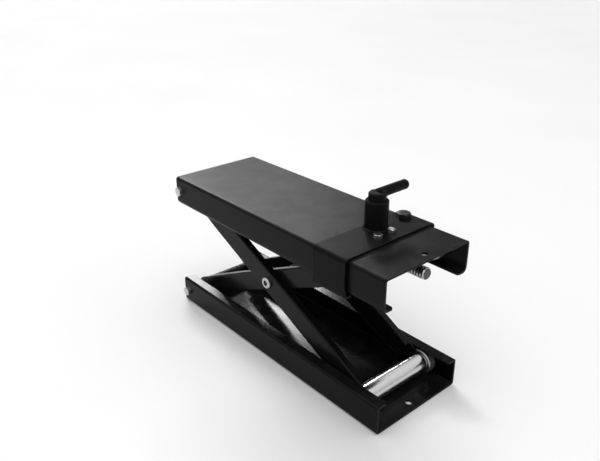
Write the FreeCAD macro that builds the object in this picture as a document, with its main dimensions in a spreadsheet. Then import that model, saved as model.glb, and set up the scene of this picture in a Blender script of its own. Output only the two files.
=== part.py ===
import FreeCAD, Part
import math
import os
import re
import Sketcher

# Motorcycle scissor stand: a lipped base channel, two pairs of crossed arms, a second channel
# upside down as the platform, a lead screw under the platform, and a saddle with a support post.
# Millimetres.  Origin: centre of the base's underside.  +X runs along the channels towards their
# open roller end, +Y across them, +Z up.  "Near" parts are on the -Y side, "far" parts on +Y.

SIZES = {
    # base and platform channels; the platform's walls are higher and its lips' outer bend is wider
    "channel_length": 426.0,
    "channel_width": 150.0,
    "base_height": 41.0,
    "platform_height": 43.5,
    "channel_lip": 16.5,
    "sheet": 3.0,
    "floor_bend": 4.5,
    "base_lip_bend": 3.5,
    "platform_lip_bend": 7.5,
    "lip_corner": 4.0,
    "bolt_hole_x": 200.5,
    "base_hole_y": -1.2,
    "platform_hole_y": 5.0,
    "bolt_hole_diameter": 9.0,
    "edge_break": 0.5,
    # scissor linkage
    "arm_pitch": 410.0,
    "rise": 173.0,
    "hinge_height": 20.5,
    "hinge_inset": 10.0,
    "outer_arm_face": 56.0,
    "outer_arm_width": 34.0,
    "outer_arm_end": 13.0,
    "outer_arm_taper": 70.0,
    "outer_arm_stop": 26.0,
    "inner_arm_face": 45.5,
    "inner_arm_width": 29.5,
    "inner_arm_end": 12.5,
    "inner_arm_taper": 120.0,
    "inner_arm_stop": 20.0,
    "arm_flange": 10.0,
    "arm_bend": 2.6,
    # pins, rollers and their running clearances
    "running_gap": 0.05,
    "side_gap": 0.3,
    "hinge_bolt_diameter": 8.0,
    "hinge_tube_diameter": 20.0,
    "hinge_spacer_diameter": 16.0,
    "centre_bolt_diameter": 12.0,
    "centre_tube_diameter": 19.0,
    "centre_spacer_diameter": 22.0,
    "axle_diameter": 16.0,
    "axle_reach": 70.3,
    "axle_sleeve_diameter": 28.0,
    "roller_diameter": 34.4,
    "roller_inner_face": 57.0,
    "roller_width": 12.6,
    "roller_chamfer": 1.2,
    "roller_recess": 1.0,
    "trunnion_diameter": 30.0,
    "trunnion_width": 36.0,
    # lead screw
    "screw_diameter": 16.0,
    "screw_shank_diameter": 12.0,
    "screw_tip_x": 211.0,
    "thread_start_x": -30.0,
    "bracket_sheet": 6.0,
    "bracket_width": 60.0,
    "bracket_drop": 34.0,
    "bracket_corner": 8.0,
    "bracket_inset": 7.0,
    "bearing_diameter": 28.0,
    "bearing_width": 6.0,
    "drive_across": 19.0,
    "drive_length": 20.0,
    "collar_diameter": 26.0,
    "collar_width": 8.0,
    # hexagon fasteners: across flats and head or nut height
    "hinge_hex": 13.0,
    "hinge_head": 5.3,
    "hinge_nut": 6.5,
    "centre_hex": 16.0,
    "centre_head": 4.0,
    "centre_head_diameter": 16.5,
    "centre_socket": 8.0,
    "clamp_hex": 10.0,
    "clamp_head": 4.0,
    "clamp_diameter": 6.0,
    "lock_hex": 17.0,
    "lock_head": 6.0,
    "lock_diameter": 10.0,
    # saddle and support post
    "saddle_length": 54.0,
    "saddle_x": 129.0,
    "saddle_width": 160.0,
    "saddle_height": 52.5,
    "saddle_lip": 14.0,
    "saddle_bend": 6.5,
    "saddle_lift": 0.3,
    "socket_x": 118.5,
    "socket_y": 11.0,
    "socket_diameter": 29.8,
    "socket_height": 38.4,
    "socket_chamfer": 1.8,
    "rod_diameter": 22.5,
    "rod_top": 265.0,
    "bar_diameter": 13.0,
    "bar_z": 262.6,
    "bar_reach": 54.0,
    "clamp_x": 138.7,
    "clamp_y": 5.0,
    "clamp_spacing": 23.6,
    "lock_x": 119.0,
    "lock_y": 62.5,
}

# Places that follow from the driving sizes.
HINGE_X = "(hinge_inset - channel_length / 2)"
SPAN = "sqrt(arm_pitch^2 - rise^2)"
ROLLER_X = f"({HINGE_X} + {SPAN})"
CENTRE_X = f"({HINGE_X} + {SPAN} / 2)"
CENTRE_Z = "(hinge_height + rise / 2)"
TOP_HINGE_Z = "(hinge_height + rise)"
PLATFORM_Z = "(2 * hinge_height + rise)"
SADDLE_Z = f"({PLATFORM_Z} + saddle_lift + sheet)"
WALL_INSIDE = "(channel_width / 2 - sheet)"
LIFT_ANGLE = "asin(rise / arm_pitch)"

X_AXIS = FreeCAD.Vector(1, 0, 0)
Y_AXIS = FreeCAD.Vector(0, 1, 0)
Z_AXIS = FreeCAD.Vector(0, 0, 1)
ALONG_X = FreeCAD.Rotation(Y_AXIS, 90)
ALONG_Y = FreeCAD.Rotation(X_AXIS, -90)
ALONG_MINUS_Y = FreeCAD.Rotation(X_AXIS, 90)
ALONG_Z = FreeCAD.Rotation()
NEAR = -1
FAR = 1
TOLERANCE = 1e-4

doc = FreeCAD.newDocument("scissor_stand")
sheet = doc.addObject("Spreadsheet::Sheet", "Sizes")
nodes = {}


def fill_sheet():
    for row, (alias, size) in enumerate(SIZES.items(), start=1):
        sheet.set(f"A{row}", alias)
        sheet.set(f"B{row}", str(size))
        sheet.setAlias(f"B{row}", alias)
    doc.recompute()


# ---- expressions and placements ------------------------------------------------------------


def formula(text):
    """Point every driving size in a formula at its cell in the sheet."""
    return re.sub(r"[a-z_]+", lambda m: "Sizes." + m[0] if m[0] in SIZES else m[0], str(text))


def value(text):
    result = sheet.evalExpression(formula(text))
    return float(getattr(result, "Value", result))


def bind(item, prop, text):
    item.setExpression(prop, formula(text))


def place(item, x=0, y=0, z=0, rotation=ALONG_Z):
    item.Placement = FreeCAD.Placement(FreeCAD.Vector(), rotation)
    for letter, text in zip("xyz", (x, y, z)):
        bind(item, f"Placement.Base.{letter}", text)
    return item


def keep(item, node):
    """Register a finished sub-part: its Label is the name of its file."""
    item.Label = node
    nodes[node] = item
    return item


# ---- sketches and features -----------------------------------------------------------------


def new_body(name):
    body = doc.addObject("PartDesign::Body", name)
    doc.recompute()
    return body


def sketch_on(body, role):
    sketch = body.newObject("Sketcher::SketchObject", body.Name + "_sketch")
    plane = next(item for item in body.Origin.OriginFeatures if item.Role == role)
    sketch.AttachmentSupport = [(plane, "")]
    sketch.MapMode = "FlatFace"
    return sketch


def pin_point(sketch, geometry, point, corner):
    """Hold one point of a sketch at two formulas measured from its origin."""
    for kind, text in zip(("DistanceX", "DistanceY"), corner):
        rule = sketch.addConstraint(Sketcher.Constraint(kind, -1, 1, geometry, point, value(text)))
        bind(sketch, f"Constraints[{rule}]", text)


def add_polygon(sketch, corners):
    spots = [FreeCAD.Vector(value(u), value(v), 0) for u, v in corners]
    first = sketch.GeometryCount
    count = len(spots)
    for i in range(count):
        sketch.addGeometry(Part.LineSegment(spots[i], spots[(i + 1) % count]))
    for i in range(count):
        following = first + (i + 1) % count
        sketch.addConstraint(Sketcher.Constraint("Coincident", first + i, 2, following, 1))
        pin_point(sketch, first + i, 1, corners[i])


def add_circle(sketch, u, v, diameter):
    centre = FreeCAD.Vector(value(u), value(v), 0)
    circle = sketch.addGeometry(Part.Circle(centre, Z_AXIS, value(diameter) / 2))
    pin_point(sketch, circle, 3, (u, v))
    rule = sketch.addConstraint(Sketcher.Constraint("Diameter", circle, value(diameter)))
    bind(sketch, f"Constraints[{rule}]", diameter)


def polygon(body, role, corners):
    sketch = sketch_on(body, role)
    add_polygon(sketch, corners)
    return sketch


def circles(body, role, spots):
    sketch = sketch_on(body, role)
    for u, v, diameter in spots:
        add_circle(sketch, u, v, diameter)
    return sketch


def pad(body, sketch, length, backwards=False, both=False):
    feature = body.newObject("PartDesign::Pad", body.Name + "_pad")
    feature.Profile = sketch
    bind(feature, "Length", length)
    feature.Reversed = backwards
    feature.Midplane = both
    doc.recompute()
    return feature


def pocket(body, sketch, depth, backwards=False):
    feature = body.newObject("PartDesign::Pocket", body.Name + "_pocket")
    feature.Profile = sketch
    feature.Reversed = backwards
    bind(feature, "Length", depth)
    doc.recompute()
    return feature


def through(body, sketch):
    """Cut a sketch right through the body, both ways, and make sure that it cut something."""
    before = body.Shape.Volume
    feature = body.newObject("PartDesign::Pocket", body.Name + "_hole")
    feature.Profile = sketch
    feature.Type = "ThroughAll"
    feature.Midplane = True
    doc.recompute()
    if body.Shape.Volume > before - TOLERANCE:
        raise RuntimeError(f"{body.Name}: a hole cuts nothing")
    return feature


def turn(body, sketch, cut=False):
    """Revolve a profile (radius across, height up) about the body's Z axis."""
    kind = "PartDesign::Groove" if cut else "PartDesign::Revolution"
    before = body.Shape.Volume if cut else 0
    feature = body.newObject(kind, body.Name + "_turned")
    feature.Profile = sketch
    feature.ReferenceAxis = (sketch, ["V_Axis"])
    feature.Angle = 360
    doc.recompute()
    if cut and body.Shape.Volume > before - TOLERANCE:
        raise RuntimeError(f"{body.Name}: a groove cuts nothing")
    return feature


def dress(body, kind, edges, size):
    """Fillet or chamfer edges of the body's last feature."""
    last = body.Tip
    feature = body.newObject("PartDesign::" + kind, body.Name + "_" + kind.lower())
    feature.Base = (last, edges)
    bind(feature, "Radius" if kind == "Fillet" else "Size", size)
    doc.recompute()
    return feature


def edges_where(shape, test):
    return [f"Edge{i}" for i, edge in enumerate(shape.Edges, start=1) if test(edge.BoundBox)]


def edges_along_x(shape, corners):
    """Long edges parallel to X that pass through the given (y, z) corners."""
    def at_corner(box):
        return box.XLength > 1 and any(
            abs(box.YMin - value(y)) + abs(box.YMax - value(y)) < TOLERANCE
            and abs(box.ZMin - value(z)) + abs(box.ZMax - value(z)) < TOLERANCE
            for y, z in corners)
    return edges_where(shape, at_corner)


def edges_at(shape, letter, levels):
    """Edges that lie in a plane square to one axis."""
    low, high = letter + "Min", letter + "Max"
    return edges_where(shape, lambda box: any(
        abs(getattr(box, low) - level) + abs(getattr(box, high) - level) < TOLERANCE
        for level in levels))


# ---- shapes that several sub-parts share ----------------------------------------------------


def lip_corners(shape, reach):
    """Short upright edges at the four free corners of a channel's lips."""
    return edges_where(shape, lambda box: box.ZLength > 1
                       and box.XLength + box.YLength < TOLERANCE
                       and abs(abs(box.YMin) - reach) < TOLERANCE)


def lipped_channel(name, width, height, lip, length, floor_bend, lip_bend):
    """Bent sheet: floor at z = 0, two walls and two lips turned inwards, centred on x = 0."""
    body = new_body(name)
    half, inside, lip_edge = f"{width} / 2", f"({width} / 2 - sheet)", f"({width} / 2 - {lip})"
    under_lip = f"({height} - sheet)"
    right = [(half, "0"), (half, height), (lip_edge, height),
             (lip_edge, under_lip), (inside, under_lip), (inside, "sheet")]
    left = [("-" + y, z) for y, z in reversed(right)]
    pad(body, polygon(body, "YZ_Plane", right + left), length, both=True)
    dress(body, "Fillet", lip_corners(body.Shape, value(lip_edge)), "lip_corner")
    for z_out, z_in, bend in (("0", "sheet", floor_bend), (height, under_lip, lip_bend)):
        outer = [(half, z_out), ("-" + half, z_out)]
        inner = [(inside, z_in), ("-" + inside, z_in)]
        dress(body, "Fillet", edges_along_x(body.Shape, outer), bend)
        dress(body, "Fillet", edges_along_x(body.Shape, inner), f"{bend} - sheet")
    ends = [value(length) / 2, -value(length) / 2]
    dress(body, "Fillet", edges_at(body.Shape, "X", ends), "edge_break")
    return body


def turned(name, profile):
    body = new_body(name)
    turn(body, polygon(body, "XZ_Plane", profile))
    return body


def sleeve(name, outer, bore, length):
    """Plain tube along +Z from z = 0, with broken outer edges."""
    rim, skin = f"({outer} / 2 - edge_break)", f"{outer} / 2"
    return turned(name, [(bore + " / 2", "0"), (rim, "0"), (skin, "edge_break"),
                         (skin, f"{length} - edge_break"), (rim, length), (bore + " / 2", length)])


def shaft(name, diameter, length, chamfer):
    """Plain pin along +Z from z = 0, with chamfered ends."""
    rim, skin = f"({diameter} / 2 - {chamfer})", f"{diameter} / 2"
    return turned(name, [("0", "0"), (rim, "0"), (skin, chamfer),
                         (skin, f"{length} - {chamfer}"), (rim, length), ("0", length)])


def hexagon(across):
    side, tip = f"{across} / 2", f"{across} / sqrt(3)"
    return [(side, f"{tip} / 2"), ("0", tip), ("-" + side, f"{tip} / 2"),
            ("-" + side, f"-{tip} / 2"), ("0", "-" + tip), (side, f"-{tip} / 2")]


def hex_prism(name, across, height, chamfer_foot=False):
    """Hexagon along +Z from z = 0 with the usual 30 degree corner chamfer."""
    body = new_body(name)
    pad(body, polygon(body, "XY_Plane", hexagon(across)), height)
    start, end = f"{across} * 0.47", f"{across} * 0.62"
    fall = f"{across} * 0.15 * tan(30 deg)"
    turn(body, polygon(body, "XZ_Plane", [(start, height), (end, f"{height} - {fall}"),
                                          (end, f"{height} + 1"), (start, f"{height} + 1")]), True)
    if chamfer_foot:
        turn(body, polygon(body, "XZ_Plane", [(start, "0"), (end, fall), (end, "-1"),
                                              (start, "-1")]), True)
    return body


def hex_bolt(name, across, head, diameter, length):
    """Head above z = 0 and shank below it."""
    body = hex_prism(name, across, head)
    pad(body, circles(body, "XY_Plane", [("0", "0", diameter)]), length, backwards=True)
    dress(body, "Chamfer", edges_at(body.Shape, "Z", [-value(length)]), "edge_break")
    return body


def socket_bolt(name, width, head, socket, diameter, length):
    """Low round head with a hexagon socket, above z = 0, and the shank below it."""
    rim, skin, shank = f"({width} / 2 - 1)", f"{width} / 2", f"{diameter} / 2"
    body = turned(name, [
        ("0", "-" + length), (f"{shank} - edge_break", "-" + length),
        (shank, f"edge_break - {length}"), (shank, "0"), (skin, "0"), (skin, f"{head} - 1"),
        (rim, head), ("0", head)])
    pocket(body, polygon(body, "XY_Plane", hexagon(socket)), head, backwards=True)
    return body


def hex_nut(name, across, height, diameter):
    body = hex_prism(name, across, height, chamfer_foot=True)
    through(body, circles(body, "XY_Plane", [("0", "0", f"{diameter} + running_gap")]))
    return body


def mirrored_pair(body, node):
    """A part and its mirror image across the stand's centre plane, as two solids in one node."""
    twin = doc.addObject("Part::Mirroring", body.Name + "_twin")
    twin.Source = body
    twin.Normal = Y_AXIS
    group = doc.addObject("Part::Compound", node)
    group.Links = [body, twin]
    doc.recompute()
    return keep(group, node)


# ---- channels -------------------------------------------------------------------------------


def channel(node, height, hole_y, lip_bend):
    body = lipped_channel(node, "channel_width", height, "channel_lip",
                          "channel_length", "floor_bend", lip_bend)
    through(body, circles(body, "XY_Plane", [("bolt_hole_x", hole_y, "bolt_hole_diameter")]))
    through(body, circles(body, "XZ_Plane", [
        (HINGE_X, "hinge_height", "hinge_bolt_diameter + running_gap")]))
    return keep(body, node)


def channels():
    channel("base_channel", "base_height", "base_hole_y", "base_lip_bend")
    platform = channel("platform_channel", "platform_height", "-platform_hole_y",
                       "platform_lip_bend")
    place(platform, z=PLATFORM_Z, rotation=FreeCAD.Rotation(X_AXIS, 180))


# ---- arms -----------------------------------------------------------------------------------


def arm_outline(body, pair):
    """Straight sides that taper to a round end about each end bore."""
    sketch = sketch_on(body, "XZ_Plane")
    reach, waist = "arm_pitch / 2", f"(arm_pitch / 2 - {pair}_taper)"
    end, side = f"{pair}_end", f"{pair}_width / 2"
    rows = [[("-" + reach, s + end), ("-" + waist, s + side), (waist, s + side), (reach, s + end)]
            for s in ("", "-")]
    for row in rows:
        for start, stop in zip(row, row[1:]):
            ends = [FreeCAD.Vector(value(u), value(v), 0) for u, v in (start, stop)]
            line = sketch.addGeometry(Part.LineSegment(*ends))
            pin_point(sketch, line, 1, start)
            pin_point(sketch, line, 2, stop)
    for sign, top, bottom in ((1, (2, 2), (5, 2)), (-1, (0, 1), (3, 1))):
        centre = FreeCAD.Vector(sign * value(reach), 0, 0)
        round_end = Part.Circle(centre, Z_AXIS, value(end))
        start = -math.pi / 2 if sign > 0 else math.pi / 2
        arc = sketch.addGeometry(Part.ArcOfCircle(round_end, start, start + math.pi))
        low, high = (bottom, top) if sign > 0 else (top, bottom)
        sketch.addConstraint(Sketcher.Constraint("Coincident", arc, 1, *low))
        sketch.addConstraint(Sketcher.Constraint("Coincident", arc, 2, *high))
        rule = sketch.addConstraint(Sketcher.Constraint("DistanceX", -1, 1, arc, 3, centre.x))
        bind(sketch, f"Constraints[{rule}]", f"{sign} * {reach}")
    return sketch


def arm_flanges(body, pair):
    sketch = sketch_on(body, "XZ_Plane")
    stop, waist = f"(arm_pitch / 2 - {pair}_stop)", f"(arm_pitch / 2 - {pair}_taper)"
    side = f"{pair}_width / 2"
    end = f"({pair}_end + ({side} - {pair}_end) * {pair}_stop / {pair}_taper)"
    for sign in ("", "-"):
        outer = [("-" + stop, end), ("-" + waist, side), (waist, side), (stop, end)]
        edge = [(u, sign + v) for u, v in outer]
        back = [(u, f"{sign}({v} - sheet)") for u, v in reversed(outer)]
        add_polygon(sketch, edge + back)
    return sketch


def arm(node, side, pair, bores, tilt):
    """Pressed channel: web on the outside at y = side * face, flanges turned inwards."""
    body = new_body(node)
    inwards = side == NEAR
    pad(body, arm_outline(body, pair), "sheet", backwards=inwards)
    pad(body, arm_flanges(body, pair), "arm_flange", backwards=inwards)
    dress(body, "Fillet", edges_at(body.Shape, "Y", [0]), "arm_bend")
    through(body, circles(body, "XZ_Plane", [
        (spot, "0", bore) for spot, bore in zip(("-arm_pitch / 2", "0", "arm_pitch / 2"), bores)]))
    face_y = f"{pair}_face" if side == FAR else f"-{pair}_face"
    place(body, CENTRE_X, face_y, CENTRE_Z, FreeCAD.Rotation(Y_AXIS, value(tilt)))
    bind(body, "Placement.Rotation.Angle", tilt)
    return keep(body, node)


def arms():
    hinge, centre = "hinge_bolt_diameter + 2 * running_gap", "centre_bolt_diameter"
    axle = "axle_diameter"
    for side, word in ((NEAR, "near"), (FAR, "far")):
        arm(f"inner_arm_{word}", side, "inner_arm",
            (hinge, centre + " + running_gap / 2", axle + " + 2 * running_gap"), f"-{LIFT_ANGLE}")
        arm(f"outer_arm_{word}", side, "outer_arm",
            (hinge, centre + " + 2 * running_gap", axle + " + running_gap / 2"), LIFT_ANGLE)


# ---- hinges and pivots ----------------------------------------------------------------------


def base_hinge():
    """One long bolt through both walls, with a welded tube and spacers that centre the arms."""
    reach, web_inside = "channel_width / 2", "(inner_arm_face - sheet)"
    bolt = hex_bolt("base_hinge_bolt", "hinge_hex", "hinge_head", "hinge_bolt_diameter",
                    "channel_width + hinge_nut + 2")
    keep(place(bolt, HINGE_X, "-" + reach, "hinge_height", ALONG_MINUS_Y), "base_hinge_bolt")
    nut = hex_nut("base_hinge_nut", "hinge_hex", "hinge_nut", "hinge_bolt_diameter")
    keep(place(nut, HINGE_X, reach, "hinge_height", ALONG_Y), "base_hinge_nut")
    spacer = sleeve("base_hinge_spacer", "hinge_spacer_diameter",
                    "(hinge_bolt_diameter + running_gap)",
                    f"({WALL_INSIDE} - inner_arm_face - side_gap)")
    place(spacer, HINGE_X, "inner_arm_face + side_gap", "hinge_height", ALONG_Y)
    mirrored_pair(spacer, "base_hinge_spacers")
    tube = sleeve("inner_arm_tube", "hinge_tube_diameter",
                  "(hinge_bolt_diameter + 2 * running_gap)", f"(2 * {web_inside})")
    keep(place(tube, HINGE_X, "-" + web_inside, "hinge_height", ALONG_Y), "inner_arm_tube")


def centre_pivot():
    """Long bolt through all four arms, with a welded tube between the inner pair."""
    seat, web_inside = "(outer_arm_face + side_gap)", "(inner_arm_face - sheet)"
    bolt = socket_bolt("centre_bolt", "centre_head_diameter", "centre_head", "centre_socket",
                       "centre_bolt_diameter", f"(2 * {seat} + centre_head + 1)")
    keep(place(bolt, CENTRE_X, "-" + seat, CENTRE_Z, ALONG_MINUS_Y), "centre_bolt")
    nut = hex_nut("centre_nut", "centre_hex", "centre_head", "centre_bolt_diameter")
    keep(place(nut, CENTRE_X, seat, CENTRE_Z, ALONG_Y), "centre_nut")
    bore = "(centre_bolt_diameter + running_gap)"
    tube = sleeve("centre_tube", "centre_tube_diameter", bore, f"(2 * {web_inside})")
    keep(place(tube, CENTRE_X, "-" + web_inside, CENTRE_Z, ALONG_Y), "centre_tube")
    spacer = sleeve("centre_spacer", "centre_spacer_diameter", bore,
                    "(outer_arm_face - sheet - side_gap - inner_arm_face)")
    place(spacer, CENTRE_X, "inner_arm_face", CENTRE_Z, ALONG_Y)
    mirrored_pair(spacer, "centre_spacers")


def platform_hinge():
    """A short bolt each side, so that the lead screw can pass between them."""
    bolt = hex_bolt("platform_hinge_bolt", "hinge_hex", "hinge_head", "hinge_bolt_diameter",
                    "(channel_width / 2 - outer_arm_face + sheet + side_gap + hinge_nut + 1)")
    place(bolt, HINGE_X, "-channel_width / 2", TOP_HINGE_Z, ALONG_MINUS_Y)
    mirrored_pair(bolt, "platform_hinge_bolts")
    nut = hex_nut("platform_hinge_nut", "hinge_hex", "hinge_nut", "hinge_bolt_diameter")
    place(nut, HINGE_X, "-(outer_arm_face - sheet - side_gap)", TOP_HINGE_Z, ALONG_Y)
    mirrored_pair(nut, "platform_hinge_nuts")
    spacer = sleeve("platform_hinge_spacer", "hinge_spacer_diameter",
                    "(hinge_bolt_diameter + running_gap)",
                    f"({WALL_INSIDE} - outer_arm_face - side_gap)")
    place(spacer, HINGE_X, "outer_arm_face + side_gap", TOP_HINGE_Z, ALONG_Y)
    mirrored_pair(spacer, "platform_hinge_spacers")


# ---- axles and rollers ----------------------------------------------------------------------


def roller(node, side, z):
    """Turned wheel with a shallow ring recess in both faces."""
    bore, skin = "(axle_diameter / 2 + running_gap)", "roller_diameter / 2"
    rim = "(roller_diameter / 2 - roller_chamfer)"
    hub, web = "(roller_diameter * 0.34)", "(roller_diameter * 0.43)"
    half = [(skin, "roller_width / 2 - roller_chamfer"), (rim, "roller_width / 2"),
            (web, "roller_width / 2"), (web, "roller_width / 2 - roller_recess"),
            (hub, "roller_width / 2 - roller_recess"), (hub, "roller_width / 2"),
            (bore, "roller_width / 2")]
    body = turned(node, half + [(u, f"-({v})") for u, v in reversed(half)])
    middle = "(roller_inner_face + roller_width / 2)"
    place(body, ROLLER_X, middle if side == FAR else "-" + middle, z, ALONG_Y)
    return keep(body, node)


def lower_axle():
    axle = shaft("lower_axle", "axle_diameter", "2 * axle_reach", "1")
    keep(place(axle, ROLLER_X, "-axle_reach", "hinge_height", ALONG_Y), "lower_axle")
    tube = sleeve("lower_axle_sleeve", "axle_sleeve_diameter", "(axle_diameter + running_gap)",
                  "(2 * (outer_arm_face - sheet))")
    keep(place(tube, ROLLER_X, "-(outer_arm_face - sheet)", "hinge_height", ALONG_Y),
         "lower_axle_sleeve")


def trunnion():
    """Screw nut with a stub axle on each side; the screw passes through it along X."""
    body = shaft("trunnion_nut", "axle_diameter", "2 * axle_reach", "1")
    swell = "trunnion_diameter / 2"
    low, high = "(axle_reach - trunnion_width / 2)", "(axle_reach + trunnion_width / 2)"
    turn(body, polygon(body, "XZ_Plane", [
        ("0", low), (f"{swell} - 1.5", low), (swell, f"{low} + 1.5"),
        (swell, f"{high} - 1.5"), (f"{swell} - 1.5", high), ("0", high)]))
    through(body, circles(body, "YZ_Plane", [
        ("0", "axle_reach", "screw_diameter + 2 * running_gap")]))
    keep(place(body, ROLLER_X, "-axle_reach", TOP_HINGE_Z, ALONG_Y), "trunnion_nut")


def upper_spacers():
    """Sleeves that keep the inner arms apart and the rollers outside them."""
    bore, wide = "(axle_diameter + running_gap)", "(axle_diameter + 7)"
    inner = sleeve("trunnion_spacer", wide, bore,
                   "(inner_arm_face - sheet - side_gap - trunnion_width / 2)")
    place(inner, ROLLER_X, "trunnion_width / 2", TOP_HINGE_Z, ALONG_Y)
    mirrored_pair(inner, "trunnion_spacers")
    outer = sleeve("upper_roller_spacer", wide, bore,
                   "(roller_inner_face - side_gap - inner_arm_face - side_gap)")
    place(outer, ROLLER_X, "inner_arm_face + side_gap", TOP_HINGE_Z, ALONG_Y)
    mirrored_pair(outer, "upper_roller_spacers")


def rollers():
    for level, z in (("lower", "hinge_height"), ("upper", TOP_HINGE_Z)):
        roller(f"{level}_roller_near", NEAR, z)
        roller(f"{level}_roller_far", FAR, z)


# ---- lead screw -----------------------------------------------------------------------------


def thrust_bracket():
    """Plate that hangs across the platform's end and carries the pull of the screw."""
    body = new_body("thrust_bracket")
    side, top = "bracket_width / 2", f"({PLATFORM_Z} - sheet)"
    foot = f"({top} - bracket_drop)"
    right = [(side, top), (side, f"{foot} + bracket_corner"),
             (f"({side} - bracket_corner)", foot)]
    left = [("-" + y, z) for y, z in reversed(right)]
    pad(body, polygon(body, "YZ_Plane", right + left), "bracket_sheet")
    through(body, circles(body, "YZ_Plane", [
        ("0", TOP_HINGE_Z, "screw_shank_diameter + 2 * running_gap")]))
    keep(place(body, "bracket_inset - channel_length / 2"), "thrust_bracket")


def lead_screw():
    outside = "(bracket_inset - channel_length / 2)"
    bearing_x = f"({outside} - side_gap - bearing_width)"
    drive_x = f"({bearing_x} - drive_length)"
    core, skin = "screw_shank_diameter / 2", "screw_diameter / 2"
    screw = turned("lead_screw", [
        ("0", "0"), (core, "0"), (core, f"thread_start_x - {drive_x}"),
        (skin, f"thread_start_x - {drive_x} + 2"), (skin, f"screw_tip_x - {drive_x} - 1.5"),
        (f"{skin} - 1.5", f"screw_tip_x - {drive_x}"), ("0", f"screw_tip_x - {drive_x}")])
    keep(place(screw, drive_x, 0, TOP_HINGE_Z, ALONG_X), "lead_screw")
    drive = hex_nut("drive_hexagon", "drive_across", "drive_length", "screw_shank_diameter")
    keep(place(drive, drive_x, 0, TOP_HINGE_Z, ALONG_X), "drive_hexagon")
    bore = "(screw_shank_diameter + running_gap)"
    bearing = sleeve("thrust_bearing", "bearing_diameter", bore, "bearing_width")
    keep(place(bearing, bearing_x, 0, TOP_HINGE_Z, ALONG_X), "thrust_bearing")
    collar = sleeve("screw_collar", "collar_diameter", bore, "collar_width")
    keep(place(collar, f"({outside} + bracket_sheet + side_gap)", 0, TOP_HINGE_Z, ALONG_X),
         "screw_collar")


# ---- saddle and support post ----------------------------------------------------------------


def saddle():
    """Wraps over the platform and slides along it; its lips hook under the platform's lips."""
    body = lipped_channel("saddle", "saddle_width", "saddle_height", "saddle_lip",
                          "saddle_length", "saddle_bend", "saddle_bend")
    # The body is drawn upside down, so a hole at +Y in the stand is at -Y in this sketch.
    clamp_u = "(clamp_x - saddle_x)"
    through(body, circles(body, "XY_Plane", [
        (clamp_u, "-(clamp_y - clamp_spacing / 2)", "clamp_diameter + running_gap"),
        (clamp_u, "-(clamp_y + clamp_spacing / 2)", "clamp_diameter + running_gap"),
        ("(lock_x - saddle_x)", "-lock_y", "lock_diameter + 2 * running_gap")]))
    place(body, "saddle_x", 0, SADDLE_Z, FreeCAD.Rotation(X_AXIS, 180))
    keep(body, "saddle")


def saddle_bolts():
    reach = "(sheet + saddle_lift / 2)"
    bolts = []
    for word, sign in (("near", "-"), ("far", "+")):
        bolt = hex_bolt(f"clamp_bolt_{word}", "clamp_hex", "clamp_head", "clamp_diameter", reach)
        bolts.append(place(bolt, "clamp_x", f"clamp_y {sign} clamp_spacing / 2", SADDLE_Z))
    group = doc.addObject("Part::Compound", "clamp_bolts")
    group.Links = bolts
    keep(group, "clamp_bolts")
    lock = hex_bolt("lock_bolt", "lock_hex", "lock_head", "lock_diameter",
                    "(sheet + side_gap)")
    keep(place(lock, "lock_x", "lock_y", f"{SADDLE_Z} + side_gap"), "lock_bolt")


def support_post():
    """Socket tube on the saddle; a loose rod with a cross bar stands and turns in it."""
    bore, skin = "(rod_diameter / 2 + running_gap)", "socket_diameter / 2"
    socket = turned("socket_tube", [
        (bore, "0"), (skin, "0"), (skin, "socket_height - socket_chamfer"),
        (f"({skin} - socket_chamfer)", "socket_height"), (f"({bore} + 1)", "socket_height"),
        (bore, "socket_height - 1")])
    keep(place(socket, "socket_x", "socket_y", SADDLE_Z), "socket_tube")
    foot = f"({SADDLE_Z} + side_gap)"
    rod = shaft("support_rod", "rod_diameter", f"(rod_top - {foot})", "1.5")
    seat = circles(rod, "XZ_Plane", [("0", f"bar_z - {foot}", "bar_diameter")])
    pocket(rod, seat, "rod_diameter")
    keep(place(rod, "socket_x", "socket_y", foot), "support_rod")


def support_bar():
    """Round bar with rounded ends, seated in a notch in the rod's top and reaching to one side."""
    skin = "bar_diameter / 2"
    bar = turned("support_bar", [
        ("0", "0"), (skin, "0"), (skin, "bar_reach"), ("0", "bar_reach")])
    ends = [0, value("bar_reach")]
    dress(bar, "Fillet", edges_at(bar.Shape, "Z", ends), "bar_diameter * 0.37")
    keep(place(bar, "socket_x", "socket_y", "bar_z", ALONG_Y), "support_bar")


# ---- build, check and write -----------------------------------------------------------------


def build():
    fill_sheet()
    channels()
    arms()
    base_hinge()
    centre_pivot()
    platform_hinge()
    lower_axle()
    trunnion()
    upper_spacers()
    rollers()
    thrust_bracket()
    lead_screw()
    saddle()
    saddle_bolts()
    support_post()
    support_bar()
    doc.recompute()


def check():
    for item in doc.Objects:
        if {"Invalid", "Error"} & set(item.State):
            raise RuntimeError(f"{item.Name}: {item.State}")
    for node, item in nodes.items():
        if item.Shape.isNull() or not item.Shape.isValid() or not item.Shape.Solids:
            raise RuntimeError(f"{node}: bad shape")


def write():
    os.makedirs("parts", exist_ok=True)
    for node, item in nodes.items():
        item.Shape.exportStep(f"parts/{node}.step")
    print(len(nodes), "nodes written")


build()
check()
write()
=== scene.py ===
import math

import bmesh
import bpy
from mathutils import Matrix, Vector


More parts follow.
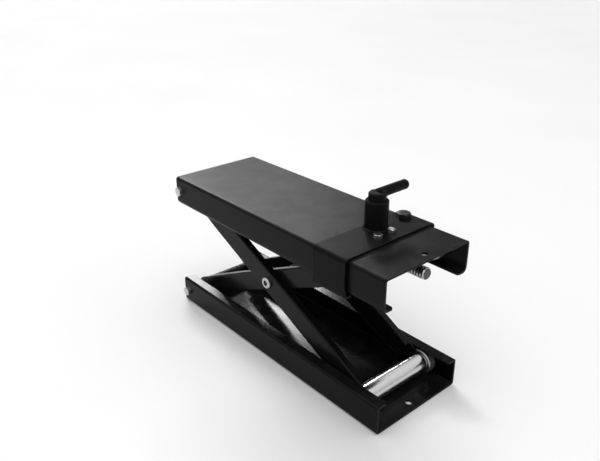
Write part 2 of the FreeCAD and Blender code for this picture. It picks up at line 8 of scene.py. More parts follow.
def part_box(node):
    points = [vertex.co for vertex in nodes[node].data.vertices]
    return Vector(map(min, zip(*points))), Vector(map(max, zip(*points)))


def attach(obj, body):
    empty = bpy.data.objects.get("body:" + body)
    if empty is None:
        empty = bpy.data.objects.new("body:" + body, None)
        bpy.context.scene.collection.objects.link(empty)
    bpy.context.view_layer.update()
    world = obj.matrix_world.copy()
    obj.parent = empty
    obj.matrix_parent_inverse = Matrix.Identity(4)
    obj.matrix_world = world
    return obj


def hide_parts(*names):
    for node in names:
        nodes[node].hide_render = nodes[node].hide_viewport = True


# Looks of the scissor stand.  Metres, in the row frame: origin at the centre of the base's
# underside, +X towards the roller end, +Y across, +Z up.  Shapes and places come from the frame.

MM = 0.001
X_AXIS = Vector((1, 0, 0))
Y_AXIS = Vector((0, 1, 0))
UP = Vector((0, 0, 1))
FULL_TURN = 2 * math.pi

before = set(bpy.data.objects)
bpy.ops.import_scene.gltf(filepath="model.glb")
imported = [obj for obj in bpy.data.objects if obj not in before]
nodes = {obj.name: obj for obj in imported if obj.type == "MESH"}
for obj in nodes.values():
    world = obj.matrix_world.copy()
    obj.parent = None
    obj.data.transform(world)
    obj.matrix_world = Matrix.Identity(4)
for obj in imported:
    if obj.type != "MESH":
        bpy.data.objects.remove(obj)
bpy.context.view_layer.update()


# ---------------------------------------------------------------- camera, floor and light

CAMERA_AZIMUTH = 49.09
CAMERA_ELEVATION = 24.89
CAMERA_ROLL = math.radians(-0.20)
CAMERA_PLACE = Vector((0.6112, -0.5406, 0.5541))
CAMERA_LENS = 39.01
CAMERA_SENSOR = 36.0

HORIZON_GLOW, CEILING_GLOW = 0.62, 0.98
BACK_WALL_SHADE = 0.28
WINDOW_EDGE = 0.02
# azimuth in degrees, half width, sill, lintel, glow
BACK_WINDOW = (230.2, 0.034, 0.47, 0.545, 36.0)
LEFT_WINDOW = (250.0, 0.175, 0.41, 0.51, 27.0)
SOFTBOX_DIRECTION = (20, 80)
SOFTBOX_DISTANCE, SOFTBOX_SIZE, SOFTBOX_POWER = 2.2, 1.6, 7.0

FLOOR_HALF = 30.0


def direction(azimuth, elevation):
    """From the object towards a camera or light at that azimuth and elevation, in degrees."""
    turn, rise = math.radians(azimuth), math.radians(elevation)
    flat = math.cos(rise)
    return Vector((math.sin(turn) * flat, -math.cos(turn) * flat, math.sin(rise)))


def looking_along(back, roll=0.0):
    """Rotation of a camera or light whose back faces along that direction."""
    right = UP.cross(back).normalized()
    above = back.cross(right)
    turned_right = right * math.cos(roll) + above * math.sin(roll)
    turned_above = above * math.cos(roll) - right * math.sin(roll)
    return Matrix((turned_right, turned_above, back)).transposed()


def make_camera():
    data = bpy.data.cameras.new("photo_camera")
    data.lens = CAMERA_LENS
    data.sensor_width = CAMERA_SENSOR
    data.clip_start = 0.01
    camera = bpy.data.objects.new("photo_camera", data)
    camera.rotation_mode = "QUATERNION"
    camera.location = CAMERA_PLACE
    back = direction(CAMERA_AZIMUTH, CAMERA_ELEVATION)
    camera.rotation_quaternion = looking_along(back, CAMERA_ROLL).to_quaternion()
    bpy.context.scene.collection.objects.link(camera)
    bpy.context.scene.camera = camera


def softbox(name, place, back, size, power):
    """A square area light at a place, shining away from the direction of its back."""
    data = bpy.data.lights.new(name, "AREA")
    data.shape = "RECTANGLE"
    data.size = size
    data.size_y = size
    data.energy = power
    light = bpy.data.objects.new(name, data)
    light.location = place
    light.rotation_mode = "QUATERNION"
    light.rotation_quaternion = looking_along(back).to_quaternion()
    bpy.context.scene.collection.objects.link(light)


def studio_world():
    """Pale walls and ceiling, a dark low wall behind the object, and two bright windows."""
    world = bpy.data.worlds.new("studio")
    bpy.context.scene.world = world
    world.use_nodes = True
    sky = Nodes(world.node_tree)
    towards = sky.node("ShaderNodeTexCoord").outputs["Generated"]
    height = sky.node("ShaderNodeSeparateXYZ", {0: towards}).outputs["Z"]

    def leaning(azimuth):
        """How far a direction leans towards an azimuth, from -1 to 1."""
        return sky.node("ShaderNodeVectorMath", {0: towards, 1: direction(azimuth, 0)},
                        operation="DOT_PRODUCT").outputs["Value"]

    def window(azimuth, half_width, sill, lintel, glow):
        """Strength that a window adds; its sizes are parts of a sphere's radius."""
        aside = sky.math("ABSOLUTE", leaning(azimuth + 90))
        seen = sky.math(
            "MULTIPLY", sky.ramp(aside, half_width, half_width + WINDOW_EDGE, 1.0, 0.0),
            sky.ramp(leaning(azimuth), 0.0, 0.1, 0.0, 1.0))
        upright = sky.math(
            "MULTIPLY", sky.ramp(height, sill - WINDOW_EDGE, sill, 0.0, 1.0),
            sky.ramp(height, lintel, lintel + WINDOW_EDGE, 1.0, 0.0))
        return sky.math("MULTIPLY", sky.math("MULTIPLY", seen, upright), glow)

    back_wall = sky.math(
        "MULTIPLY", sky.ramp(leaning(CAMERA_AZIMUTH + 180), 0.1, 0.6, 0.0, 1.0),
        sky.ramp(height, 0.55, 0.8, 1.0, 0.0))
    pale = sky.math("MULTIPLY", sky.ramp(height, 0.0, 0.75, HORIZON_GLOW, CEILING_GLOW),
                    sky.ramp(back_wall, 0.0, 1.0, 1.0, BACK_WALL_SHADE))
    windows = sky.math("ADD", window(*BACK_WINDOW), window(*LEFT_WINDOW))
    background = world.node_tree.nodes["Background"]
    sky.put(background.inputs["Color"], (1.0, 1.0, 1.0))
    sky.put(background.inputs["Strength"], sky.math("ADD", pale, windows))


def make_light():
    bpy.context.scene.view_settings.view_transform = "Standard"
    studio_world()
    top = direction(*SOFTBOX_DIRECTION)
    softbox("top_softbox", top * SOFTBOX_DISTANCE, top, SOFTBOX_SIZE, SOFTBOX_POWER)


def make_floor():
    mesh = bpy.data.meshes.new("studio_floor")
    corners = [(x * FLOOR_HALF, y * FLOOR_HALF, 0)
               for x, y in ((-1, -1), (1, -1), (1, 1), (-1, 1))]
    mesh.from_pydata(corners, [], [(0, 1, 2, 3)])
    floor = bpy.data.objects.new("studio_floor", mesh)
    bpy.context.scene.collection.objects.link(floor)
    finish = Finish("pale_floor")
    cloud = finish.noise(0.6, detail=2)
    finish.colour(finish.blend(cloud, (0.80, 0.80, 0.80), (0.86, 0.86, 0.86)))
    finish.roughness(0.8)
    mesh.materials.append(finish.material)


# ---------------------------------------------------------------- material building blocks


class Nodes:
    """Short ways to add nodes to a tree; each input is a number, a colour or a socket."""

    def __init__(self, tree):
        self.tree = tree

    def node(self, kind, inputs=None, **settings):
        made = self.tree.nodes.new(kind)
        for key, value in settings.items():
            setattr(made, key, value)
        for key, value in (inputs or {}).items():
            self.put(made.inputs[key], value)
        return made

    def put(self, socket, value):
        if isinstance(value, bpy.types.NodeSocket):
            self.tree.links.new(value, socket)
        elif isinstance(value, tuple) and len(value) == 3 and socket.type == "RGBA":
            socket.default_value = (*value, 1.0)
        else:
            socket.default_value = value

    def math(self, operation, first, second=0.0):
        return self.node("ShaderNodeMath", {0: first, 1: second}, operation=operation).outputs[0]

    def spread(self, value, low, high, to_low, to_high, **settings):
        """Maps low..high of a value onto to_low..to_high, clamped."""
        inputs = {"Value": value, "From Min": low, "From Max": high, "To Min": to_low,
                  "To Max": to_high}
        return self.node("ShaderNodeMapRange", inputs, **settings).outputs["Result"]

    def ramp(self, value, low, high, to_low, to_high):
        """Like spread, but easing in and out."""
        return self.spread(
            value, low, high, to_low, to_high, interpolation_type="SMOOTHSTEP")


class Finish(Nodes):
    """A material's node tree.  Textures take their size in metres from the object's own place."""

    def __init__(self, name):
        self.material = bpy.data.materials.new(name)
        self.material.use_nodes = True
        super().__init__(self.material.node_tree)
        self.shader = self.tree.nodes["Principled BSDF"]
        self.place = self.node("ShaderNodeTexCoord").outputs["Object"]
        self.relieved = None

    def noise(self, size, detail=2.0, vector=None, distortion=0.0):
        """Soft noise from 0 to 1, with waves of about that size."""
        inputs = {"Vector": vector or self.place, "Scale": 1.0 / size, "Detail": detail,
                  "Distortion": distortion}
        return self.node("ShaderNodeTexNoise", inputs).outputs["Fac"]

    def stretched(self, factors):
        """The object's own place, scaled along each axis."""
        return self.node("ShaderNodeVectorMath", {0: self.place, 1: factors},
                         operation="MULTIPLY").outputs[0]

    def line_noise(self, along, size, detail=3.0):
        """Noise that only changes with one distance, as tool marks do."""
        inputs = {"W": self.math("MULTIPLY", along, 1.0 / size), "Scale": 1.0, "Detail": detail}
        return self.node("ShaderNodeTexNoise", inputs, noise_dimensions="1D").outputs["Fac"]

    def blend(self, factor, first, second):
        """Mixes two colours; sockets 6 and 7 of the node are its colour inputs."""
        return self.node("ShaderNodeMix", {0: factor, 6: first, 7: second},
                         data_type="RGBA").outputs[2]

    def from_axis(self, centre, axis):
        """(distance from a turning axis, distance along it) of each point."""
        offset = self.node("ShaderNodeVectorMath", {0: self.place, 1: tuple(centre)},
                           operation="SUBTRACT").outputs[0]
        across = tuple(0.0 if k == axis else 1.0 for k in range(3))
        flat = self.node("ShaderNodeVectorMath", {0: offset, 1: across}, operation="MULTIPLY")
        radial = self.node("ShaderNodeVectorMath", {0: flat.outputs[0]}, operation="LENGTH")
        split = self.node("ShaderNodeSeparateXYZ", {"Vector": offset})
        return radial.outputs["Value"], split.outputs[axis]

    def edge_mask(self, radius):
        """1 on edges and 0 on flats: how far a rounded normal leans from the real one."""
        rounded = self.node("ShaderNodeBevel", {"Radius": radius}, samples=4).outputs[0]
        flat = self.node("ShaderNodeNewGeometry").outputs["Normal"]
        lean = self.node("ShaderNodeVectorMath", {0: rounded, 1: flat}, operation="DOT_PRODUCT")
        return self.spread(lean.outputs["Value"], 0.999, 0.94, 0.0, 1.0)

    def facing_up(self):
        """1 where the surface looks up and 0 on walls, for settled dust and painted light on
        upward faces.
        """
        normal = self.node("ShaderNodeNewGeometry").outputs["Normal"]
        split = self.node("ShaderNodeSeparateXYZ", {"Vector": normal})
        return self.spread(split.outputs["Z"], 0.5, 0.95, 0.0, 1.0)

    def colour(self, value):
        self.put(self.shader.inputs["Base Color"], value)

    def roughness(self, value):
        self.put(self.shader.inputs["Roughness"], value)

    def metal(self):
        self.shader.inputs["Metallic"].default_value = 1.0

    def relief(self, height, depth):
        """Adds a bump whose full height is that depth."""
        inputs = {"Height": height, "Distance": depth, "Strength": 1.0}
        if self.relieved:
            inputs["Normal"] = self.relieved
        self.relieved = self.node("ShaderNodeBump", inputs).outputs["Normal"]
        self.put(self.shader.inputs["Normal"], self.relieved)


def grey(level, tint=1.0):
    return (level, level, level * tint)


# The first colour is settled dust plus painted light on upward faces.
DUST_AND_TOP_LIGHT = (0.075, 0.074, 0.071)
SCRATCH = grey(0.03)
# The next colour is rubbed paint plus painted highlights along edges.
RUBBED_EDGE_AND_HIGHLIGHT = (0.050, 0.050, 0.052)


def powder_coat(name, shade, gloss, specular, peel=0.00005, dust_and_top_light=0.0):
    """Black powder coating: orange peel, cloudy gloss, fine grit, scuffs, dust with painted light
    on upward faces, rubbed edges with painted edge highlights.
    """
    finish = Finish(name)
    cloud = finish.noise(0.045, detail=3)
    grit = finish.noise(0.0004, detail=2)
    body = finish.blend(cloud, grey(0.7 * shade), grey(1.3 * shade, 1.04))
    # Upward faces are painted lighter: settled dust plus painted light on the tops.
    if dust_and_top_light:
        dust_and_light_patches = finish.math("MULTIPLY", finish.spread(
            finish.noise(0.03, detail=5, distortion=0.6), 0.42, 0.75, 0.3, 1.0), dust_and_top_light)
        dusty_and_lit_tops = finish.math("MULTIPLY", dust_and_light_patches, finish.facing_up())
        body = finish.blend(dusty_and_lit_tops, body, DUST_AND_TOP_LIGHT)
    scratch = finish.noise(0.0011, detail=2, vector=finish.stretched((0.06, 1.0, 1.0)))
    scratched = finish.spread(scratch, 0.68, 0.76, 0.0, 0.35)
    body = finish.blend(scratched, body, SCRATCH)
    # Edges are painted lighter: rubbed paint plus painted highlights along the edges.
    edge_wear_and_highlight = finish.math("MULTIPLY", finish.edge_mask(0.0008), finish.spread(
        finish.noise(0.006, detail=4), 0.45, 0.65, 0.1, 1.0))
    finish.colour(finish.blend(edge_wear_and_highlight, body, RUBBED_EDGE_AND_HIGHLIGHT))
    clouded = finish.spread(cloud, 0.3, 0.7, gloss - 0.03, gloss + 0.05)
    worn = finish.math("ADD", clouded, finish.math("MULTIPLY", scratched, 0.3))
    finish.roughness(finish.math("ADD", worn, finish.spread(grit, 0.3, 0.7, -0.02, 0.03)))
    finish.relief(finish.noise(0.0022, detail=1.5), peel)
    finish.relief(grit, 0.000005)
    finish.shader.inputs["Specular IOR Level"].default_value = specular
    return finish.material


def darker(colour, part):
    return tuple(c * part for c in colour)


def zinc_plate(name, colour, roughness):
    """Bright zinc plating on forged steel: small darker patches and handling marks."""
    finish = Finish(name)
    finish.metal()
    patch = finish.noise(0.004, detail=4)
    finish.colour(finish.blend(patch, darker(colour, 0.66), colour))
    marks = finish.noise(0.0009, detail=3, distortion=1.0)
    finish.roughness(finish.spread(marks, 0.3, 0.7, roughness - 0.08, roughness + 0.12))
    finish.relief(marks, 0.00002)
    return finish.material


def turned_metal(name, centre, axis, colour, roughness, depth=0.000012, tread=None, oil_and_shade_core=None):
    """Metal turned on a lathe: rings on its faces, lines round its sides, a duller tread.

    Within a given radius of the axis it is dark: old oil on the lead screw, and painted shade in
    the hex socket of the centre bolt.
    """
    finish = Finish(name)
    finish.metal()
    radial, along = finish.from_axis(centre, axis)
    travel = finish.math("ADD", radial, along)
    fine = finish.line_noise(travel, 0.00035, detail=2)
    broad = finish.line_noise(travel, 0.0025, detail=3)
    smear = finish.noise(0.008, detail=3)
    shade = finish.blend(finish.math("MULTIPLY", broad, smear), darker(colour, 0.78), colour)
    rough = finish.spread(
        finish.math("ADD", broad, smear), 0.7, 1.3, roughness - 0.06, roughness + 0.10)
    if tread:
        on_tread = finish.spread(radial, tread - 0.0006, tread - 0.0003, 0.0, 1.0)
        shade = finish.blend(on_tread, shade, darker(colour, 0.30))
        rough = finish.math("ADD", rough, finish.math("MULTIPLY", on_tread, 0.15))
    # Painted dark near the axis: old oil on the lead screw, painted shade in the centre bolt's
    # socket.
    if oil_and_shade_core:
        oil_and_shade = finish.spread(radial, oil_and_shade_core, oil_and_shade_core + 0.0006, 1.0, 0.0)
        shade = finish.blend(oil_and_shade, shade, darker(colour, 0.12))
    finish.colour(shade)
    finish.roughness(rough)
    finish.relief(fine, depth)
    return finish.material


# ---------------------------------------------------------------- mesh building blocks

SAME_POINT = 1e-6
SHARP_ANGLE = math.radians(32)
BEAD_STEP = 0.6 * MM
BEAD_SIDES = 10


def axes(centre, axis, side):
    """Local frame: z along an axis, x along a side direction, at a centre."""
    z = axis.normalized()
    x = side.normalized()
    turned = Matrix((x, z.cross(x), z)).transposed().to_4x4()
    return Matrix.Translation(centre) @ turned


def round_axis(radius, angle, height):
    return Vector((radius * math.cos(angle), radius * math.sin(angle), height))


def level(value, angle):
    return value(angle) if callable(value) else value


def lathe(shape, place, rings, segments, hollow=False):
    """Closed skin through rings of (radius, height), each a number or a function of the angle."""
    rows = []
    for radius, height in rings:
        row = []
        for k in range(segments):
            angle = FULL_TURN * k / segments
            local = round_axis(level(radius, angle), angle, level(height, angle))
            row.append(shape.verts.new(place @ local))
        rows.append(row)
    close_skin(shape, rows, hollow)


def close_skin(shape, rows, joined):
    """Skin over rows of points: the last row joins the first, or both are capped."""
    if joined:
        skin_rows(shape, rows + [rows[0]])
    else:
        skin_rows(shape, rows)
        shape.faces.new(list(reversed(rows[0])))
        shape.faces.new(rows[-1])


def skin_rows(shape, rows, shift=0):
    """Quads between rows of points; at the seam, the rows are shifted to run on as a helix."""
    count = len(rows[0])
    for k in range(len(rows) - 1):
        for i in range(count - 1):
            shape.faces.new((rows[k][i], rows[k][i + 1], rows[k + 1][i + 1], rows[k + 1][i]))
    for k in range(len(rows) - 1 - shift):
        low, high = rows[k + shift], rows[k + 1 + shift]
        shape.faces.new((rows[k][count - 1], low[0], high[0], rows[k + 1][count - 1]))


def hex_radius(across):
    """Distance from a hexagon's centre to its side at each angle."""
    def radius(angle):
        return across / 2 / math.cos((angle + math.pi / 6) % (math.pi / 3) - math.pi / 6)
    return radius


def hex_rings(across, low, high, inner=0.0, both_ends=False):
    """Rings of a hexagon between two heights, with the usual 30 degree chamfered corners."""
    outline = hex_radius(across)
    flat = 0.475 * across
    slope = math.tan(math.radians(30))
    top = [(outline, lambda a: high - (outline(a) - flat) * slope), (flat, high),
           (flat - 0.4 * MM, high + 0.05 * MM)]
    bottom = [(outline, low)]
    if both_ends:
        bottom = [(flat, low), (outline, lambda a: low + (outline(a) - flat) * slope)]
    if inner:
        top += [(inner + 0.5 * MM, high), (inner, high - 0.5 * MM)]
        bottom = [(inner, low + 0.5 * MM), (inner + 0.5 * MM, low)] + bottom
    return bottom + top


def threaded(shape, place, low, high, crest, root, pitch, chamfer, segments):
    """Rod with a helical trapezoidal thread between two heights, and a chamfered top end."""
    phases = (0.0, 0.14, 0.50, 0.64)   # of one pitch: root, crest begins, crest ends, root

    def radius(height, angle):
        phase = (height / pitch - angle / FULL_TURN) % 1.0
        if phase < phases[1]:
            part = phase / phases[1]
        elif phase < phases[2]:
            part = 1.0
        elif phase < phases[3]:
            part = (phases[3] - phase) / (phases[3] - phases[2])
        else:
            part = 0.0
        cone = crest - chamfer + (high - height)
        return min(root + (crest - root) * part, max(cone, 0.4 * crest))

    first = math.floor(low / pitch) - 1
    turns = math.ceil(high / pitch) + 1 - first
    rows = []
    for n in range(turns * 4):
        row = []
        for k in range(segments):
            angle = FULL_TURN * k / segments
            height = pitch * (first + n // 4 + phases[n % 4] + k / segments)
            height = min(max(height, low), high)
            local = round_axis(radius(height, angle), angle, height)
            row.append(shape.verts.new(place @ local))
        rows.append(row)
    skin_rows(shape, rows, 4)
    bmesh.ops.remove_doubles(shape, verts=shape.verts, dist=SAME_POINT)
    bmesh.ops.dissolve_degenerate(shape, dist=SAME_POINT, edges=shape.edges)
    bmesh.ops.holes_fill(shape, edges=[e for e in shape.edges if e.is_boundary], sides=0)


def bead(shape, path, size, closed):
    """Weld bead along a path of points: a round ridge with overlapping ripples."""
    rows = []
    count = len(path)
    travelled = 0.0
    for i, point in enumerate(path):
        before = path[i - 1] if closed or i else path[0]
        after = path[(i + 1) % count] if closed or i + 1 < count else path[-1]
        travelled += (point - before).length if i else 0.0
        along = (after - before).normalized()
        across = along.cross(UP) if abs(along.z) < 0.9 else along.cross(X_AXIS)
        across.normalize()
        above = across.cross(along)
        ripple = 1.0 + 0.10 * math.sin(travelled / (0.35 * MM)) + 0.06 * math.sin(
            travelled / (1.9 * MM) + 1.0)
        end = 1.0 if closed else min(1.0, 0.35 + 0.3 * min(i, count - 1 - i))
        r = size * ripple * end
        rows.append([shape.verts.new(
            point + (across * math.cos(a) + above * math.sin(a)) * r)
            for a in (FULL_TURN * k / BEAD_SIDES for k in range(BEAD_SIDES))])
    close_skin(shape, rows, closed)


def circle_path(centre, axis, radius):
    """Closed path round an axis, with a point at about every step of a bead."""
    side = axis.orthogonal().normalized()
    other = axis.cross(side).normalized()
    count = max(24, round(FULL_TURN * radius / BEAD_STEP))
    return [centre + (side * math.cos(a) + other * math.sin(a)) * radius
            for a in (FULL_TURN * k / count for k in range(count))]


def line_path(start, end):
    count = max(8, round((end - start).length / BEAD_STEP))
    return [start.lerp(end, k / (count - 1)) for k in range(count)]


def make_piece(name, shape, material, body, slot, *replaced):
    """Turn a finished bmesh into a piece that rides on a body and stands for CAD nodes."""
    bmesh.ops.remove_doubles(shape, verts=shape.verts, dist=SAME_POINT)
    bmesh.ops.recalc_face_normals(shape, faces=shape.faces)
    mesh = bpy.data.meshes.new(name)
    shape.to_mesh(mesh)
    shape.free()
    mesh.shade_smooth()
    mesh.set_sharp_from_angle(angle=SHARP_ANGLE)
    mesh.materials.append(material)
    piece = bpy.data.objects.new(name, mesh)
    bpy.context.scene.collection.objects.link(piece)
    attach(piece, body)
    if replaced:
        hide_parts(*replaced)


def paint(name, material):
    data = nodes[name].data
    data.materials.clear()
    data.materials.append(material)


def middle(name):
    low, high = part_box(name)
    return (low + high) / 2


def extent(name):
    low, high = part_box(name)
    return high - low


# ---------------------------------------------------------------- materials on the CAD nodes


def dress_nodes():
    """Coatings and steels on the CAD nodes; gives the two coats that the welds share."""
    wall_coat = powder_coat("base_powder_coat", 0.0015, 0.10, 0.09, peel=0.00004, dust_and_top_light=0.20)
    top_coat = powder_coat("platform_powder_coat", 0.0025, 0.36, 0.09, dust_and_top_light=0.22)
    arm_coat = powder_coat("arm_powder_coat", 0.004, 0.24, 0.11)
    saddle_coat = powder_coat("saddle_powder_coat", 0.003, 0.44, 0.07, dust_and_top_light=0.03)
    coats = {
        wall_coat: ("base_channel",),
        top_coat: ("platform_channel", "thrust_bracket"),
        arm_coat: ("inner_arm_near", "inner_arm_far", "outer_arm_near", "outer_arm_far",
                   "inner_arm_tube", "centre_tube"),
        saddle_coat: ("saddle", "socket_tube", "support_rod", "support_bar"),
    }
    for coat, names in coats.items():
        for name in names:
            paint(name, coat)
    plain_steel = ("base_hinge_spacers", "centre_spacers", "platform_hinge_spacers",
                   "trunnion_spacers", "upper_roller_spacers", "lower_axle", "trunnion_nut")
    for name in plain_steel:
        paint(name, turned_metal(f"{name}_steel", middle(name), 1, grey(0.52), 0.30))
    paint("lower_axle_sleeve", turned_metal(
        "bright_plating", middle("lower_axle_sleeve"), 1, grey(0.74, 1.01), 0.15, 0.000008))
    for side in ("near", "far"):
        for tier in ("lower", "upper"):
            name = f"{tier}_roller_{side}"
            tread = extent(name).x / 2
            paint(name, turned_metal(
                f"{name}_steel", middle(name), 1, grey(0.78, 0.99), 0.34, tread=tread))
    for name in ("thrust_bearing", "screw_collar"):
        paint(name, turned_metal(f"{name}_steel", middle(name), 0, grey(0.60), 0.28))
    return saddle_coat, arm_coat


# ---------------------------------------------------------------- fasteners and the lead screw

# across flats, head height and thread diameter of each bolt
HINGE_BOLT = (13 * MM, 5.3 * MM, 8 * MM)
CLAMP_BOLT = (10 * MM, 4 * MM, 6 * MM)
LOCK_BOLT = (17 * MM, 6 * MM, 10 * MM)
# across flats, height and bore of each nut
HINGE_NUT = (13 * MM, 6.5 * MM, 8.2 * MM)
CENTRE_NUT = (16 * MM, 4 * MM, 12.2 * MM)
DRIVE_ACROSS, DRIVE_BORE = 19 * MM, 12 * MM
# shank lengths
PLATFORM_BOLT_REACH = 30 * MM
CLAMP_BOLT_REACH = 2.8 * MM
LOCK_BOLT_REACH = 3.0 * MM
BOLT_PITCH, BOLT_CHAMFER = 1.25 * MM, 0.8 * MM
# radius of the hex socket in the centre bolt's head, which is painted dark as painted shade
HEX_SOCKET_RADIUS = 3.7 * MM


def hex_bolt(shape, seat, outward, sizes, length):
    """Bolt whose head stands on a seat; the shank ends in a chamfered threaded tip."""
    across, head, diameter = sizes
    place = axes(seat, outward, X_AXIS)
    lathe(shape, place, hex_rings(across, 0.0, head), 72)
    threaded(shape, place @ Matrix.Rotation(math.pi, 4, "X"), 0.0, length, diameter / 2,
             0.43 * diameter, BOLT_PITCH, BOLT_CHAMFER, 20)


def hex_nut(shape, seat, outward, side, sizes):
    across, height, bore = sizes
    place = axes(seat, outward, side)
    lathe(shape, place, hex_rings(across, 0.0, height, bore / 2, True), 72, hollow=True)


def make_zinc(name, shape, zinc, body):
    """A zinc piece that stands for the CAD node of that name."""
    make_piece(f"{name}_detail", shape, zinc, body, "zinc_fastener", name)


def make_base_hinge(zinc):
    bolt, nut = bmesh.new(), bmesh.new()
    low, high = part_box("base_hinge_bolt")
    centre = middle("base_hinge_bolt")
    seat = Vector((centre.x, low.y + HINGE_BOLT[1], centre.z))
    hex_bolt(bolt, seat, -Y_AXIS, HINGE_BOLT, high.y - seat.y)
    make_zinc("base_hinge_bolt", bolt, zinc, "base")
    foot = Vector((centre.x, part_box("base_hinge_nut")[0].y, centre.z))
    hex_nut(nut, foot, Y_AXIS, X_AXIS, HINGE_NUT)
    make_zinc("base_hinge_nut", nut, zinc, "base")


def make_platform_hinge(zinc):
    bolts, nuts = bmesh.new(), bmesh.new()
    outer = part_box("platform_hinge_bolts")[1].y
    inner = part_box("platform_hinge_nuts")[1].y
    centre = middle("platform_hinge_bolts")
    for sign in (-1, 1):
        seat = Vector((centre.x, sign * (outer - HINGE_BOLT[1]), centre.z))
        hex_bolt(bolts, seat, Y_AXIS * sign, HINGE_BOLT, PLATFORM_BOLT_REACH)
        foot = Vector((centre.x, sign * inner, centre.z))
        hex_nut(nuts, foot, Y_AXIS * -sign, X_AXIS, HINGE_NUT)
    make_zinc("platform_hinge_bolts", bolts, zinc, "platform")
    make_zinc("platform_hinge_nuts", nuts, zinc, "platform")


def make_saddle_bolts(zinc, black):
    clamps, lock = bmesh.new(), bmesh.new()
    low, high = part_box("clamp_bolts")
    reach = CLAMP_BOLT[0] / 2 / math.cos(math.radians(30))
    for y in (low.y + reach, high.y - reach):
        seat = Vector((middle("clamp_bolts").x, y, high.z - CLAMP_BOLT[1]))
        hex_bolt(clamps, seat, UP, CLAMP_BOLT, CLAMP_BOLT_REACH)
    make_zinc("clamp_bolts", clamps, zinc, "saddle")
    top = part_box("lock_bolt")[1].z
    seat = Vector((*middle("lock_bolt").xy, top - LOCK_BOLT[1]))
    hex_bolt(lock, seat, UP, LOCK_BOLT, LOCK_BOLT_REACH)
    make_piece("lock_bolt_detail", lock, black, "lock_bolt", "black_coating", "lock_bolt")


def make_centre_nut(zinc):
    shape = bmesh.new()
    centre = middle("centre_nut")
    foot = Vector((centre.x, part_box("centre_nut")[0].y, centre.z))
    hex_nut(shape, foot, Y_AXIS, X_AXIS, CENTRE_NUT)
    make_zinc("centre_nut", shape, zinc, "inner_arms")


def make_drive_hexagon(zinc):
    shape = bmesh.new()
    low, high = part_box("drive_hexagon")
    foot = Vector((low.x, 0, middle("drive_hexagon").z))
    hex_nut(shape, foot, X_AXIS, UP, (DRIVE_ACROSS, high.x - low.x, DRIVE_BORE))
    make_zinc("drive_hexagon", shape, zinc, "screw")


# radii of the shank, of the thread and of the oil in it; the thread starts at that X
SCREW_SHANK, SCREW_CREST, SCREW_ROOT, OILY_RADIUS = 6 * MM, 8 * MM, 5.9 * MM, 6.6 * MM
SCREW_PITCH, SCREW_CHAMFER = 4 * MM, 1.6 * MM
THREAD_START = -0.030


def make_lead_screw():
    low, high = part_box("lead_screw")
    axis_z = (low.z + high.z) / 2
    place = axes(Vector((low.x, 0, axis_z)), X_AXIS, UP)
    start = THREAD_START - low.x
    shape = bmesh.new()
    lathe(shape, place, [(SCREW_SHANK - 0.8 * MM, 0.0), (SCREW_SHANK, 0.8 * MM),
                         (SCREW_SHANK, start), (SCREW_SHANK - 0.3 * MM, start + 0.5 * MM)], 32)
    threaded(shape, place, start + 0.4 * MM, high.x - low.x, SCREW_CREST, SCREW_ROOT,
             SCREW_PITCH, SCREW_CHAMFER, 28)
    steel = turned_metal(
        "lead_screw_steel", (0, 0, axis_z), 0, grey(0.66, 0.98), 0.24, oil_and_shade_core=OILY_RADIUS)
    make_piece("lead_screw_thread", shape, steel, "screw", "screw_steel", "lead_screw")


# radii of the weld beads
SOCKET_WELD, BAR_WELD, TUBE_WELD, BRACKET_WELD = 2.4 * MM, 1.3 * MM, 1.7 * MM, 1.9 * MM
BRACKET_WELD_INSET = 4 * MM
BAR_WELD_STEPS = 60


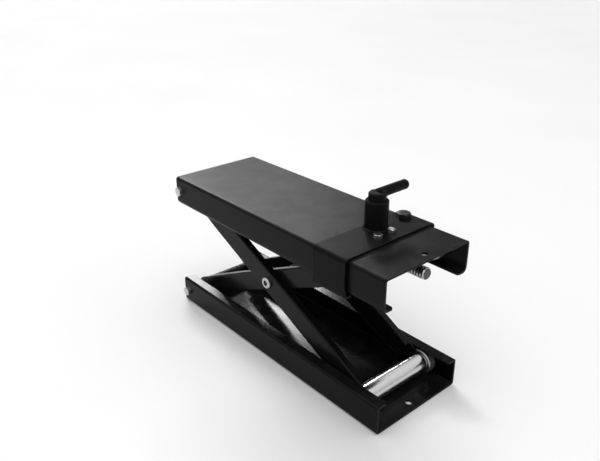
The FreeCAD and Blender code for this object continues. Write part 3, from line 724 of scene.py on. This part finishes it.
def bar_weld_path():
    """Along the rod's top beside the bar, down round the notch and up the other side."""
    bar, rod = middle("support_bar"), middle("support_rod")
    rod_radius, bar_radius = extent("support_rod").x / 2, extent("support_bar").x / 2
    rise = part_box("support_rod")[1].z - bar.z
    start = math.asin(rise / bar_radius)
    arc = []
    for k in range(BAR_WELD_STEPS + 1):
        angle = start - (math.pi + 2 * start) * k / BAR_WELD_STEPS
        x = bar_radius * math.cos(angle)
        y = math.sqrt(rod_radius ** 2 - x ** 2)
        arc.append(Vector((bar.x + x, rod.y + y, bar.z + bar_radius * math.sin(angle))))
    inner = rod.y + 2 * MM
    first = Vector((arc[0].x, inner, arc[0].z))
    last = Vector((arc[-1].x, inner, arc[-1].z))
    return line_path(first, arc[0])[:-1] + arc + line_path(arc[-1], last)[1:]


def make_welds(saddle_coat, arm_coat):
    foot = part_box("socket_tube")[0].z
    spot = Vector((*middle("socket_tube").xy, foot))
    shape = bmesh.new()
    bead(shape, circle_path(spot, UP, extent("socket_tube").x / 2), SOCKET_WELD, True)
    make_piece("socket_weld", shape, saddle_coat, "saddle", "black_coating")
    shape = bmesh.new()
    bead(shape, bar_weld_path(), BAR_WELD, False)
    make_piece("bar_weld", shape, saddle_coat, "support", "black_coating")
    for tube in ("inner_arm_tube", "centre_tube"):
        low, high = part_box(tube)
        centre = middle(tube)
        radius = extent(tube).x / 2
        shape = bmesh.new()
        for y in (low.y, high.y):
            spot = Vector((centre.x, y, centre.z))
            bead(shape, circle_path(spot, Y_AXIS, radius), TUBE_WELD, True)
        make_piece(f"{tube}_welds", shape, arm_coat, "inner_arms", "black_coating")
    low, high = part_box("thrust_bracket")
    shape = bmesh.new()
    for x in (low.x, high.x):
        start = Vector((x, low.y + BRACKET_WELD_INSET, high.z))
        end = Vector((x, high.y - BRACKET_WELD_INSET, high.z))
        bead(shape, line_path(start, end), BRACKET_WELD, False)
    make_piece("bracket_welds", shape, arm_coat, "platform", "black_coating")


def make_details(saddle_coat, arm_coat):
    zinc = zinc_plate("bright_zinc", grey(0.66, 1.01), 0.28)
    black = powder_coat("lock_bolt_black", 0.012, 0.34, 0.4)
    make_base_hinge(zinc)
    make_platform_hinge(zinc)
    make_saddle_bolts(zinc, black)
    make_centre_nut(zinc)
    make_drive_hexagon(zinc)
    # The hex socket in the centre bolt's head is painted dark: painted shade in the recess.
    paint("centre_bolt", turned_metal(
        "centre_bolt_steel", middle("centre_bolt"), 1, grey(0.62), 0.30,
        oil_and_shade_core=HEX_SOCKET_RADIUS))
    make_lead_screw()
    make_welds(saddle_coat, arm_coat)


make_camera()
make_light()
make_floor()
make_details(*dress_nodes())
